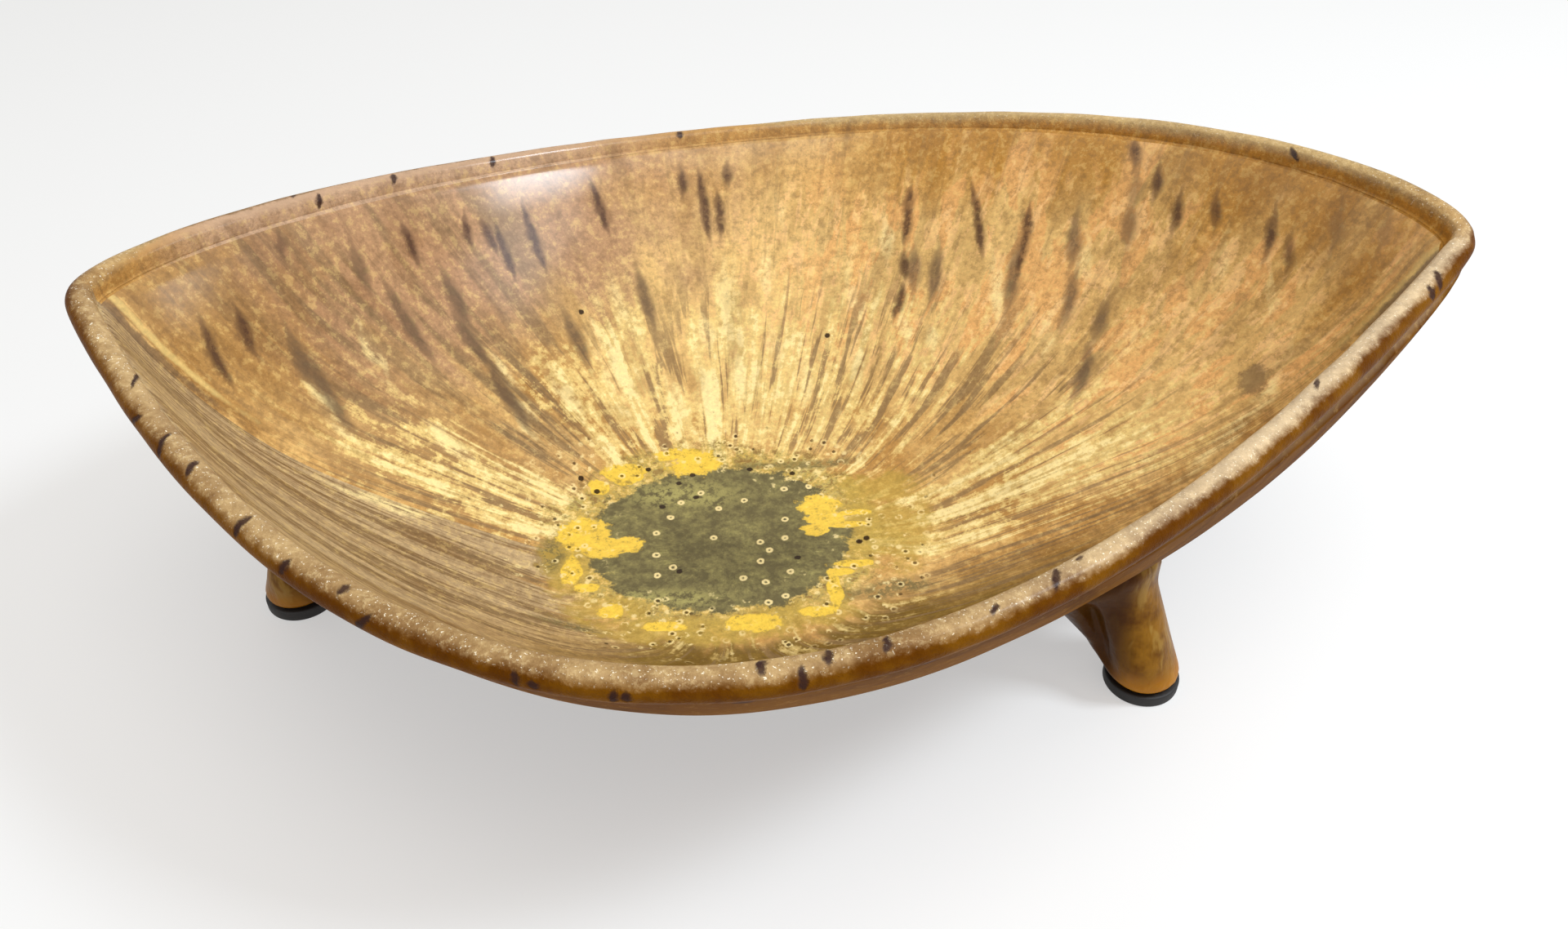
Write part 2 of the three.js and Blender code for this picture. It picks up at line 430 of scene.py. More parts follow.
def store(piece, **fields):
    """Keeps a number or a vector on each vertex, under each name given."""
    for name, values in fields.items():
        values = np.asarray(values, np.float32)
        kind, field = ("FLOAT", "value") if values.ndim == 1 else ("FLOAT_VECTOR", "vector")
        piece.data.attributes.new(name, kind, "POINT").data.foreach_set(field, values.ravel())


def ring(turn, third):
    """A turn as a cosine and a sine, which have no seam, with a third number."""
    return np.stack([np.cos(turn), np.sin(turn), third], 1)


def done(piece, node, material):
    piece.data.materials.append(material)
    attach(piece, "root")
    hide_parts(node)
    print(f"{piece.name}: {len(piece.data.polygons)} faces")


# %% [markdown]
# ## The shell
# The real shell is a slab of clay pressed into a leaf shape. Its wall swells a little outside the
# rim towards the right tip, so the outer face is pushed out there. The streaks of the glaze bend
# towards the tips as they climb, most on the front, so the shell stores a second, bent turn.

# %% Shell
right_swell = 1.5 * mm            # along the front right edge
swell_rise = 0.8, 0.97            # the climbs between which it grows
hand_waver, waver_size = 0.22 * mm, 22 * mm
front_bend, back_left_bend, back_right_bend = 0.62, 0.12, -0.22      # in radians

shell = copy_of_node("bowl_body", "glazed_shell")
modify(shell, "SUBSURF", levels=2, render_levels=2)
places, normals = vertices_of(shell), vertices_of(shell, "normal")
turn, climb, span = place_on_wall(places)
outer = normals[:, 2] < 0
front_right = ease(np.cos(turn), 0.2, 0.75) * ease(-np.sin(turn), -0.1, 0.25)
push = outer * ease(climb, *swell_rise) * right_swell * front_right
on_wall = (climb > 0) * (1 - ease(climb, 0.9, 1))
push = push + hand_waver * uneven(places, waver_size) * on_wall
move_vertices(shell, places + normals * push[:, None])


def flow_of(turn, climb):
    """The turn as the streaks have it, which bend towards the tips."""
    back_bend = np.where(np.cos(turn) < 0, back_left_bend, back_right_bend)
    bend = np.where(np.sin(turn) < 0, front_bend, back_bend)
    return ring(turn + bend * np.sin(2 * turn) * np.clip(climb, 0, 1), climb)


store(shell, around=ring(turn, climb), flow=flow_of(turn, climb), span=span, outside=outer)
shell_surface = BVHTree.FromObject(shell, bpy.context.evaluated_depsgraph_get())
print(f"shell: {len(shell.data.vertices)} vertices, pushed out up to {push.max() / mm:.2f} mm")

# %% [markdown]
# ## The rolled rim
# The bead is a coil of clay laid along the edge and smoothed down onto both faces of the wall with
# a wet finger. Each vertex of the smoothed copy is found beside the line of the coil's centre, by
# how far it lies out and up along the wall. The lower half is drawn down over the wall's edge and
# pinched in, so that it dives into the wall, and on the inside it is smeared onto the wall with no
# groove.

# %% Rim
wall = 5.2 * mm
bead_seat, seat_gap = 1.3 * mm, 0.3 * mm
tip_start, side_start = 1.08, 1.35
tip_cup, side_cup, front_right_cup = 0.42, 0.12, 0.34
tip_cup_power, side_cup_power = 6, 2.4
finger_draw = 2.6                 # the coil's lower half is drawn down this many times as far
finger_pinch = 0.15               # and gets narrower by up to this share
smear_down = 6 * mm               # how far down the coil is smeared onto the inner wall
smear_bulge, bulge_end = 0.3 * mm, 0.75      # how far it stands out there, over which share of it
smear_dive = 0.3 * mm             # how deep the smear's lower edge dives into the wall
smear_fades = (25, -5), (-88, -70)      # in degrees, where the smear begins and ends
coil_waver, coil_waver_size = 0.2 * mm, 13 * mm
line_steps = 2880                 # known places along the coil


def square_to(vectors, direction):
    """What is left of vectors across direction, at length 1."""
    vectors = vectors - direction * (vectors * direction).sum(1, keepdims=True)
    return vectors / np.linalg.norm(vectors, axis=1, keepdims=True)


def bead_line(turn):
    """The coil's centre, and the directions out of it and up along the wall."""
    nudge = 1e-4
    edge = edge_in_space(turn)
    along = edge_in_space(turn + nudge) - edge_in_space(turn - nudge)
    along /= np.linalg.norm(along, axis=1, keepdims=True)
    side = np.sin(turn) ** 2
    front_right = 2 * np.maximum(np.cos(turn), 0) * np.maximum(-np.sin(turn), 0)
    cup = tip_cup + (side_cup - tip_cup) * side + front_right_cup * front_right
    steepness = ((1 - cup) * (tip_start + (side_start - tip_start) * side)
                 + cup * (tip_cup_power + (side_cup_power - tip_cup_power) * side))
    rise = (edge[:, 2] - well_height) * steepness
    up = np.concatenate([edge[:, :2] - well_outline(turn), rise[:, None]], 1)
    up = square_to(up, along)
    out = np.cross(along, up)
    return edge + out * wall / 2 + up * (seat_gap + bead_seat), out, up


line_turns = np.linspace(0, 2 * math.pi, line_steps, endpoint=False)
line_centres, line_outs, line_ups = bead_line(line_turns)
bead_places = tree_of(line_centres)


def beside_bead(places):
    """For each place, the nearest turn of the line, and how far it lies outwards and upwards."""
    nearest = [bead_places.find(place)[1] for place in places]
    offset = np.asarray(places) - line_centres[nearest]
    return nearest, (offset * line_outs[nearest]).sum(1), (offset * line_ups[nearest]).sum(1)


def way_round(aside, above):
    """How far round the coil: 0 outwards, 0.5 on top, 1 inwards and up to 1.5 below."""
    way = 1 - np.arctan2(above, -aside) / math.pi
    return np.where(way > 1.5, way - 2, way)


rim = copy_of_node("rim_bead", "rolled_rim")
modify(rim, "SUBSURF", levels=2, render_levels=2)
places = vertices_of(rim)
nearest, aside, above = beside_bead(places)
centres, out, up = line_centres[nearest], line_outs[nearest], line_ups[nearest]
lower = np.clip(-above / bead_seat, 0, 1)
aside = aside * (1 - finger_pinch * lower ** 1.5)
drawn = np.where(above < 0, above * finger_draw, above)
round_section = np.degrees(np.arctan2(above, -aside))              # 90 up, 0 inwards, -90 down
smeared = ease(round_section, *smear_fades[0]) * ease(round_section, *smear_fades[1])
down = np.clip(-round_section / 90, 0, 1)
places = centres + out * aside[:, None] + up * drawn[:, None]
for i in np.flatnonzero(smeared):
    guess = centres[i] - out[i] * (wall / 2 + 1 * mm) - up[i] * smear_down * down[i]
    contact, square, _, _ = shell_surface.find_nearest(Vector(guess))
    lift = smear_bulge * max(0, 1 - down[i] / bulge_end) ** 2 - smear_dive * down[i] ** 2
    places[i] += (np.array(contact + square * lift) - places[i]) * smeared[i]
move_vertices(rim, places)
waver = coil_waver * uneven(places, coil_waver_size) * (1 - smeared)
move_vertices(rim, places + vertices_of(rim, "normal") * waver[:, None])
turn = line_turns[nearest]
way = way_round(*beside_bead(places)[1:])
wall_turn, wall_climb, span = place_on_wall(places)
store(rim, around=ring(turn, way), flow=flow_of(wall_turn, wall_climb), span=span)
rim_surface = BVHTree.FromObject(rim, bpy.context.evaluated_depsgraph_get())
print(f"rim: {len(rim.data.vertices)} vertices, drawn down by up to {-drawn.min() / mm:.1f} mm")

# %% [markdown]
# ## The feet
# Each foot is a pinched lump of clay, smeared onto the shell with a thumb. A voxel remesh turns the
# cut solid into one even skin, and Smooth softens it. The skin near the shell is spread sideways,
# and its end is tucked just under the shell's surface. The knob stands apart from the web behind
# it, with a crease between, and swells out over the pad. Both are made in the foot's own
# directions.

# %% Feet
smear_height = 7 * mm
smear_reach = 3.5 * mm
tuck = 0.5 * mm
voxel = 0.8 * mm
knob_foot_radius = 9.2 * mm       # where the knob stands on the pad
knob_swell = 2.4 * mm             # how far its middle stands out
swell_height, swell_spread = 12 * mm, 6 * mm
crease_at, crease_width, crease_lean, crease_pinch = -6.5 * mm, 2.2 * mm, 0.35, 0.42
crease_rise, crease_fall = (2 * mm, 7 * mm), (20 * mm, 30 * mm)      # heights above the pad
widening_fall = 4 * mm, 13 * mm   # heights too
knob_back = -7 * mm, -3 * mm      # distances from the pad's middle, away from the well
web_front = 3 * mm, 9 * mm        # and towards the well
thumb_waver, thumb_size = 0.25 * mm, 9 * mm
foot_places = ("left_tip", "right_front", "right_back")
feet = []
for where in foot_places:
    foot = copy_of_node(f"foot_{where}", f"pinched_foot_{where}")
    modify(foot, "REMESH", mode="VOXEL", voxel_size=voxel)
    modify(foot, "SMOOTH", factor=0.5, iterations=6)
    places = vertices_of(foot)
    middle = places.mean(0)
    smeared = []
    for place in places:
        place = Vector(place)
        contact, square, _, gap = shell_surface.find_nearest(place)
        if (place - contact).dot(square) < 0:
            gap = 0
        share = max(0, 1 - gap / smear_height) ** 2
        away = place - Vector(middle)
        away -= square * away.dot(square)
        place += away.normalized() * smear_reach * share
        if gap < 1.0 * mm:
            contact, square, _, _ = shell_surface.find_nearest(place)
            place = contact - square * tuck
        smeared.append(place)
    smeared = np.array(smeared)
    pad_low, pad_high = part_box(f"pad_{where}")
    stand = np.array(((pad_low.x + pad_high.x) / 2, (pad_low.y + pad_high.y) / 2))
    outward = stand - (well_x, well_y)
    outward /= np.linalg.norm(outward)
    across = np.array((-outward[1], outward[0]))
    from_stand, height = smeared[:, :2] - stand, smeared[:, 2] - pad_high.z
    u, v = from_stand @ outward, from_stand @ across
    free = ease(height, *crease_rise) * (1 - ease(height, *crease_fall))
    crease = np.exp(-((u - crease_at + crease_lean * height) / crease_width) ** 2) * free
    v *= 1 - crease_pinch * crease
    reach = np.hypot(u, v)
    low = height < 2 * mm
    widen = knob_foot_radius / reach[low].max() - 1
    grow = 1 + widen * (1 - ease(height, *widening_fall))
    swell = knob_swell * np.exp(-((height - swell_height) / swell_spread) ** 2)
    swell = swell * ease(u, *knob_back) / np.maximum(reach, 4 * mm)
    u, v = u * grow, v * grow * (1 + swell)
    smeared[:, :2] = stand + u[:, None] * outward + v[:, None] * across
    waver = thumb_waver * uneven(smeared, thumb_size)
    smeared += waver[:, None] * vertices_of(foot, "normal")
    move_vertices(foot, smeared)
    modify(foot, "SMOOTH", factor=0.5, iterations=3)
    # The web's share, where the foot's glaze gets painted shade.
    store(foot, web=ease(-u, *web_front))
    select_only(foot)
    bpy.ops.object.shade_smooth()
    feet.append(foot)
    print(f"{foot.name}: {len(foot.data.polygons)} faces, lower end widened by {widen:.0%}")

# %% [markdown]
# ## The pads
# Three round stick-on pads keep the hard glaze from scratching what the bowl stands on. One is
# modelled: a disc with bevelled edges, its face pressed in a little where the foot stands. The
# others are copies, each with its own mesh.

# %% Pads
pad_bevel, press = 0.55 * mm, 0.15 * mm
pad_low, pad_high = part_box("pad_left_tip")
pad_radius = (pad_high.x - pad_low.x) / 2
pad_thickness = pad_high.z - pad_low.z

bpy.ops.object.select_all(action="DESELECT")
bpy.ops.mesh.primitive_cylinder_add(vertices=72, radius=pad_radius, depth=pad_thickness)
first_pad = bpy.context.object
bpy.ops.object.mode_set(mode="EDIT")
bpy.ops.mesh.select_all(action="SELECT")
bpy.ops.mesh.bevel(offset=pad_bevel, segments=4, affect="EDGES")
bpy.ops.mesh.select_all(action="DESELECT")
bpy.ops.mesh.select_mode(type="FACE")
bpy.ops.object.mode_set(mode="OBJECT")
top = max(first_pad.data.polygons, key=lambda face: face.area * face.normal.z)
top.select = True
bpy.ops.object.mode_set(mode="EDIT")
bpy.ops.mesh.inset(thickness=1.0 * mm, depth=0)
bpy.ops.mesh.inset(thickness=0.5 * mm, depth=-press)
bpy.ops.object.mode_set(mode="OBJECT")
bpy.ops.object.shade_smooth_by_angle(angle=math.radians(40))

pads = {}
for where in foot_places:
    pad = bpy.data.objects.new(f"stick_on_pad_{where}", first_pad.data.copy())
    bpy.context.scene.collection.objects.link(pad)
    pad_low, pad_high = (Vector(corner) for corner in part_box(f"pad_{where}"))
    pad.data.transform(Matrix.Translation((pad_low + pad_high) / 2))
    pads[where] = pad
bpy.data.objects.remove(first_pad)
print("pads:", list(pads))

# %% [markdown]
# ## Drips and spots as ramps
# Dark drips run down the wall, and dark spots cross the rim. Each is a short line, so four numbers
# hold it: its turn, where it starts and ends, and its slant. A colour ramp with constant steps is a
# list that a shader can look up: the turn picks a step, and the step's colour holds the numbers.
# The drips are dealt out over a few ramps, so that close neighbours never share one.

# %% Turn a line in the photograph into a mark
steepest = 0.3                    # the steepest slant that a ramp's alpha can hold, in turns
smallest_rise = 0.01              # a mark that climbs less than this has no slant
tries = 9                         # places tried along a line, as its ends may miss the clay


def sight(surface, x, y):
    """Where the line of sight through a place in the photograph meets a surface, or None."""
    return surface.ray_cast(eye, line_of_sight(x, y))[0]


def marks_from(photo_lines, surface, along_of):
    """Marks (turn, lower end, upper end, slant) from lines (x, y, x, y) in the photograph."""
    marks = []
    for x1, y1, x2, y2 in photo_lines:
        found = [sight(surface, x1 + (x2 - x1) * share, y1 + (y2 - y1) * share)
                 for share in np.linspace(0, 1, tries)]
        ends = [hit for hit in found if hit is not None]
        ends = ends[0], ends[-1]
        turns = (place_on_wall(ends)[0] / (2 * math.pi) + 0.5) % 1      # 0 at the left tip
        alongs = along_of(ends)
        (low, high), rise = sorted(alongs), alongs[1] - alongs[0]
        slant = (turns[1] - turns[0]) / rise if abs(rise) > smallest_rise else 0
        marks.append((turns.mean(), low, high, max(-steepest, min(steepest, slant))))
    return sorted(marks)


def climb_of(hits):
    return place_on_wall(hits)[1]


def rim_way_of(hits):
    return way_round(*beside_bead(hits)[1:])


def marks_mask(finish, turn, along, span, marks, lanes, half_width, soft_end, soft_side=0.6):
    """1 on a mark and 0 off it, over all marks. half_width is in metres."""
    total = None
    for lane in range(lanes):
        dealt = marks[lane::lanes]
        starts = [0] + [(a[0] + b[0]) / 2 for a, b in zip(dealt, dealt[1:])]
        stops = [(start, (middle, low / 2 + 0.25, high / 2 + 0.25, slant / steepest / 2 + 0.5))
                 for start, (middle, low, high, slant) in zip(starts, dealt)]
        ramp = finish.node("ValToRGB", {"stops": stops}, {0: turn})
        middle = finish.node("SeparateColor", None, {0: ramp})
        low, high = ((finish.other(middle, channel) - 0.25) * 2 for channel in ("Green", "Blue"))
        slant = (finish.other(ramp, "Alpha") - 0.5) * 2 * steepest
        aside = abs(turn - middle - slant * (along - (low + high) * 0.5)) * span
        share = ((along - low) / (high - low)).clamp()
        width = half_width * (share * (1 - share) * 2.6 + 0.35)      # widest half way along
        mask = (aside / width).ease(0.85 + soft_side, 0.85 - soft_side)
        for inwards in (along - low, high - along):
            mask = mask * inwards.ease(-soft_end, soft_end)
        total = mask if total is None else total.above(mask)
    return total


# %% Drips on the wall, and spots on the rim
dark_drips = [
    (342, 290, 346, 312), (246, 392, 283, 472), (287, 375, 313, 434), (492, 275, 514, 324),
    (568, 262, 576, 302), (590, 270, 609, 312), (606, 276, 631, 342), (640, 250, 668, 332),
    (722, 222, 745, 284), (833, 206, 836, 240), (855, 210, 868, 292), (878, 235, 882, 290),
    (889, 200, 891, 228), (1115, 228, 1107, 300), (1107, 306, 1108, 345), (1106, 345, 1095, 392),
    (1190, 226, 1202, 312), (1262, 250, 1246, 335), (1390, 170, 1388, 206), (1420, 200, 1411, 246),
    (1446, 235, 1434, 286), (1491, 240, 1487, 280), (1562, 258, 1548, 318), (1581, 290, 1575, 330),
]
faint_drips = [
    (470, 345, 530, 442), (540, 330, 577, 402), (1320, 262, 1309, 330), (1385, 250, 1380, 302),
    (373, 433, 433, 527), (1356, 366, 1338, 420), (1640, 262, 1632, 300), (1150, 300, 1140, 370),
    (780, 330, 800, 400), (690, 380, 722, 450), (1245, 300, 1232, 380), (1336, 420, 1312, 490),
    (430, 300, 452, 356), (1700, 268, 1690, 300), (350, 400, 392, 480), (1392, 215, 1386, 250),
    (556, 380, 600, 452), (596, 440, 652, 530), (1318, 330, 1300, 400), (1120, 300, 1118, 360),
]
rim_spots = [
    (833, 158, 833, 170), (600, 190, 603, 205), (386, 238, 391, 256), (477, 214, 481, 226),
    (352, 236, 355, 243), (1587, 182, 1589, 198), (156, 468, 172, 460), (150, 509, 167, 500),
    (188, 552, 205, 526), (221, 577, 240, 562), (280, 657, 306, 630), (338, 700, 353, 683),
    (411, 728, 425, 715), (437, 768, 452, 752), (629, 822, 633, 840), (651, 834, 653, 844),
    (752, 846, 752, 862), (767, 848, 769, 864), (932, 806, 933, 828), (981, 815, 983, 850),
    (1013, 796, 1015, 815), (1083, 768, 1085, 800), (1222, 738, 1220, 752), (1293, 696, 1297, 722),
    (1318, 668, 1326, 684), (1612, 460, 1622, 468), (1768, 318, 1786, 330), (1764, 332, 1780, 344),
]
pale_strands = [
    (715, 382, 736, 441), (742, 441, 763, 484), (934, 296, 940, 360), (859, 387, 870, 430),
    (902, 435, 908, 489), (945, 409, 953, 441), (1041, 350, 1052, 398), (1047, 414, 1049, 473),
    (1105, 387, 1111, 419), (950, 243, 956, 270), (1084, 275, 1087, 318), (817, 451, 838, 505),
    (678, 467, 710, 505), (608, 441, 656, 521), (1137, 398, 1143, 430), (1553, 340, 1560, 387),
    (1500, 300, 1490, 340), (1215, 313, 1222, 387), (373, 453, 433, 540), (300, 493, 407, 587),
    (407, 593, 527, 633), (620, 467, 660, 540), (527, 520, 580, 567), (440, 400, 470, 450),
    (1330, 300, 1322, 345), (1290, 380, 1275, 440), (860, 455, 872, 520), (985, 440, 985, 500),
]
dark_marks, faint_marks, pale_marks = (marks_from(lines, shell_surface, climb_of)
                                       for lines in (dark_drips, faint_drips, pale_strands))
rim_marks = marks_from(rim_spots, rim_surface, rim_way_of)
print(f"{len(dark_marks)} dark drips, {len(faint_marks)} faint ones, {len(rim_marks)} rim spots")

# %% [markdown]
# ## What the two glazes share
# The rim's glaze is the wall's where the two meet, so both have the same colours, the same noises
# on the same coordinates, and the same last layers: curds, thin runs, threads and a mottle. Runs
# and threads are stretched along the wall, as the glaze ran.

# %% Colours
ochre, light_ochre, deep_gold = paint(192, 144, 80), paint(218, 174, 108), paint(188, 134, 58)
straw, rosy_gold, peach = paint(236, 196, 126), paint(230, 172, 106), paint(244, 196, 132)
mauve, tan, brown = paint(178, 137, 104), paint(166, 124, 70), paint(128, 84, 38)
cream, pale_cream = paint(232, 202, 128), paint(250, 226, 160)
ash, pale_ash, dark_ash = paint(190, 164, 124), paint(180, 148, 104), paint(134, 108, 74)
grey_olive, olive_brown, light_olive = paint(138, 112, 78), paint(116, 88, 38), paint(132, 104, 50)
near_brown, iron = paint(120, 82, 42), paint(76, 50, 40)
stain, faint_stain = paint(120, 94, 66), paint(104, 82, 62)
pool_green, pool_dark, pool_pale = paint(128, 118, 74), paint(106, 96, 62), paint(172, 162, 98)
yellow, dull_yellow, pinhole = paint(240, 200, 78), paint(190, 158, 74), paint(48, 32, 20)
amber, light_amber, dark_amber = paint(98, 54, 4), paint(122, 76, 8), paint(68, 34, 3)
print("ochre in linear light:", [round(c, 3) for c in ochre])


# %% Noises and last layers of both glazes
def shared_inputs(finish):
    """The place, flow, turn, third part of "around", span, and the noises that both have."""
    place, flow = finish.place(), finish.attribute("flow", "Vector")
    cosine, sine, third = finish.parts(finish.attribute("around", "Vector"))
    turn = sine.maths("ARCTAN2", sine, cosine) / (2 * math.pi) + 0.5
    runs = finish.noise(finish.stretch(flow, 1, 1, 0.38), 13, 3, 0.6, 0.3)
    threads = finish.noise(finish.stretch(flow, 1, 1, 0.10), 30, 3, 0.6, 0.4)
    curds = finish.noise(place, 420, 4, 0.72)
    grain = finish.noise(place, 1100, 2, 0.7)
    return place, flow, turn, third, finish.attribute("span", "Fac"), runs, threads, curds, grain


def lay_fine_layers(finish, runs, threads, curds, curd_share, stain_share, run_share):
    finish.lay(curds.ease(0.53, 0.60) * curd_share, cream)
    finish.lay(curds.ease(0.47, 0.40) * stain_share * 0.22, stain)
    finish.lay(runs.ease(0.49, 0.40) * run_share * 0.2, brown)
    finish.lay(threads.ease(0.455, 0.39) * run_share * 0.2, stain)


def mottle_of(curds, runs, grain):
    return (0.60 + curds * 0.60 + runs * 0.25) * (0.76 + grain * 0.48)


# %% [markdown]
# ## The glaze of the shell
# The glaze is laid down in the order in which the kiln made it. An ochre coat comes first: deep
# gold at the right, mauve at the upper left, grey at the left end, and olive brown on the near
# wall. Each zone is a window round the turn and up the climb, with edges frayed by noise. The turn
# counts here from 0 at the left tip, along the front to 0.5 at the right tip, and back to 1.

# %% Inputs of the shell's glaze
glaze = Finish("runny_ochre_glaze")
place, flow, turn, climb, span, runs, threads, curds, grain = shared_inputs(glaze)
outside = glaze.attribute("outside", "Fac")
inner = 1 - outside

clouds = glaze.noise(place, 48, 4, 0.6)
blots = glaze.noise(place, 150, 3, 0.6)
strands = glaze.noise(glaze.stretch(flow, 1, 1, 0.16), 10, 3, 0.55, 0.5)
flecks = glaze.noise(glaze.stretch(flow, 1, 1, 0.45), 30, 3, 0.65, 0.4)

frayed_turn = turn + (clouds - 0.5) * 0.08 + (threads - 0.5) * 0.05
frayed_climb = climb + (strands - 0.5) * 0.6 + (clouds - 0.5) * 0.3


def zone(turns, rise, fall=None):
    """A window round the turn. It fades in up the wall over rise, and out again over fall."""
    window = frayed_turn.band(*turns) * frayed_climb.ease(*rise)
    return window * frayed_climb.ease(*fall) if fall else window


print("inputs:", len(glaze.tree.nodes), "nodes")

# %% Zones of the inner wall
front_middle = zone((0.12, 0.2, 0.36, 0.46), (-0.15, 0.05))
front_left = frayed_turn.ease(0.2, 0.12) * frayed_climb.ease(-0.1, 0.1)
near_top = zone((0.10, 0.2, 0.40, 0.48), (0.5, 0.85))
gold_flecks = zone((0.48, 0.52, 0.70, 0.76), (0.25, 0.4), (1.0, 0.85)) * runs.ease(0.5, 0.54)
peach_zone = zone((0.47, 0.51, 0.72, 0.84), (0.15, 0.4), (0.98, 0.8))
peach_flecks = (flecks * 0.75 + curds * 0.25).ease(0.52, 0.57)
ash_streaks = (threads * 0.5 + strands * 0.5).ease(0.42, 0.56)

glaze.colour = glaze.mix(clouds.ease(0.38, 0.62), ochre, light_ochre)
glaze.lay(zone((0.58, 0.66, 0.80, 0.86), (0.05, 0.3), (0.95, 0.7)) * 0.8, straw)
glaze.lay(zone((0.46, 0.50, 0.60, 0.68), (0.1, 0.4)) * 0.5, straw)
glaze.lay(zone((0.46, 0.52, 0.66, 0.78), (0.78, 1.02)) * 0.9, deep_gold)
glaze.lay(gold_flecks * 0.8, rosy_gold)
glaze.lay(peach_zone * peach_flecks * 0.75, peach)
glaze.lay(zone((0.74, 0.82, 0.92, 0.97), (0.45, 0.75)) * 0.85, mauve)
glaze.lay(zone((0.82, 0.86, 0.93, 0.96), (0.05, 0.3)) * (1 - ash_streaks) * 0.75, grey_olive)
glaze.lay(zone((0.90, 0.94, 0.99, 1.0), (0.55, 0.85)) * 0.7, tan)
glaze.lay(front_middle, glaze.mix(strands.ease(0.4, 0.6), olive_brown, light_olive))
glaze.lay(zone((0.86, 0.92, 0.98, 1.0), (0.0, 0.15), (0.8, 0.5)) * 0.4, pale_ash)
glaze.lay(near_top * 0.6, near_brown)
glaze.lay(front_left * 0.9, glaze.mix(ash_streaks, dark_ash, ash))
print("with its zones:", len(glaze.tree.nodes), "nodes")

# %% [markdown]
# ## Strands, curds and threads
# Nearer the well the glaze is thick and opaque. It breaks into pale strands with a curdled edge, so
# some fine round noise is mixed into the stretched noise before both are cut off sharply. How far
# up the cream reaches differs round the bowl, and the two valleys that run to the tips hold most.

# %% Strands on the wall
texture = strands * 0.34 + threads * 0.20 + runs * 0.14 + curds * 0.20 + blots * 0.12
creamy = (frayed_turn.band(0.58, 0.68, 0.85, 0.90) * climb.ease(0.80, 0.15)).above(
    frayed_turn.band(0.905, 0.935, 0.975, 1.0) * climb.ease(0.9, 0.1) * 1.15).above(
    frayed_turn.band(0.455, 0.485, 0.55, 0.60) * climb.ease(1.0, 0.1)).above(
    frayed_turn.band(0.02, 0.08, 0.40, 0.46) * climb.ease(0.2, 0.03) * 0.2)
dark_threads = (threads * 0.6 + strands * 0.4).ease(0.48, 0.43) * climb.band(-0.05, 0.08, 0.4, 0.7)
strand_mask = (texture + creamy * 0.06).ease(0.53, 0.565) * (creamy * 2.5).clamp()
core_mask = (texture + creamy * 0.055).ease(0.565, 0.60) * (creamy * 2).clamp()
placed = marks_mask(glaze, turn + (blots - 0.5) * 5 * mm / span, climb, span, pale_marks,
                    lanes=4, half_width=2.4 * mm, soft_end=0.06)

glaze.lay(dark_threads * 0.7, grey_olive)
glaze.lay(strand_mask * 0.8, cream)
glaze.lay(core_mask * 0.9, pale_cream)
glaze.lay(placed * (texture.ease(0.46, 0.54) * 0.75 + 0.1) * inner, pale_cream)
lay_fine_layers(glaze, runs, threads, curds, curd_share=0.25 - front_middle * 0.2,
                stain_share=1 - creamy.clamp(), run_share=climb.ease(0.1, 0.3))
print("with its strands:", len(glaze.tree.nodes), "nodes")

# %% [markdown]
# ## The pool in the well
# Glaze gathered in the well as a level grey-green pool. Round it lies a ragged border, yellow where
# the two glazes met, with dark specks between. The yellow patches and the little broken bubbles are
# listed as places in the photograph and dropped onto the well along the line of sight. A patch is an
# oval of distance, and noise makes its edge ragged.

# %% Places in the photograph, with half lengths and half widths in mm for the ovals
pool_middle = (880, 657)
pool_half_length, pool_half_width = 32.5 * mm, 26.4 * mm
yellow_patches = [
    (765, 582, 5.8, 3.4), (735, 596, 3.0, 2.4), (850, 567, 6.6, 4.8), (822, 558, 4.0, 2.0),
    (715, 655, 6.4, 6.0), (755, 668, 6.0, 3.2), (738, 672, 5.6, 3.6), (1003, 620, 5.6, 4.2),
    (1014, 634, 6.2, 3.0), (998, 648, 3.4, 2.2), (1036, 642, 5.2, 1.2), (1044, 628, 4.6, 1.2),
    (1046, 690, 5.2, 1.3), (1030, 700, 3.6, 1.3), (1022, 722, 1.6, 5.0), (925, 762, 6.4, 3.0),
    (748, 748, 4.0, 2.6), (1000, 748, 4.4, 1.7), (700, 700, 2.4, 5.0), (718, 720, 3.0, 1.6),
    (812, 768, 5.0, 1.8),
]
dull_patches = [(1080, 650, 14, 13), (695, 690, 5.5, 11), (850, 772, 26, 4.4), (1075, 600, 10, 6),
                (980, 752, 14, 4), (745, 745, 10, 4)]
dark_patches = [(940, 570, 10, 1.2), (1000, 569, 11, 1.7), (1100, 718, 9, 2.4), (690, 765, 8, 2.0),
                (1066, 726, 6, 2.2), (1024, 650, 5, 2.6), (676, 680, 3, 6)]
pale_patches = [(840, 606, 13, 5), (800, 735, 16, 3.0), (700, 712, 3, 3)]
tip_creases = [(168, 412, 12, 1.1), (1728, 346, 8, 1.0)]
tip_ridges = [(182, 410, 12, 0.8), (1735, 332, 11, 1.2)]
bubbles = [
    (960, 599), (990, 596), (911, 613), (880, 623), (821, 634), (858, 604), (834, 616),
    (804, 653), (874, 659), (961, 636), (931, 664), (961, 659), (942, 674), (931, 687),
    (804, 680), (824, 695), (805, 705), (910, 708), (938, 713), (968, 700), (941, 738), (962, 730),
]
pits = [
    (794, 575), (848, 582), (831, 592), (852, 609), (811, 621), (731, 602), (711, 586), (918, 575),
    (970, 580), (977, 683), (832, 700), (1052, 663), (1061, 659), (712, 382), (1013, 411),
]
ash_spot = (1535, 465)            # on the right of the inner wall
outer_spots = [(980, 842, 1.5), (1140, 810, 1.7), (911, 860, 1.8)]      # below the rim, radii in mm
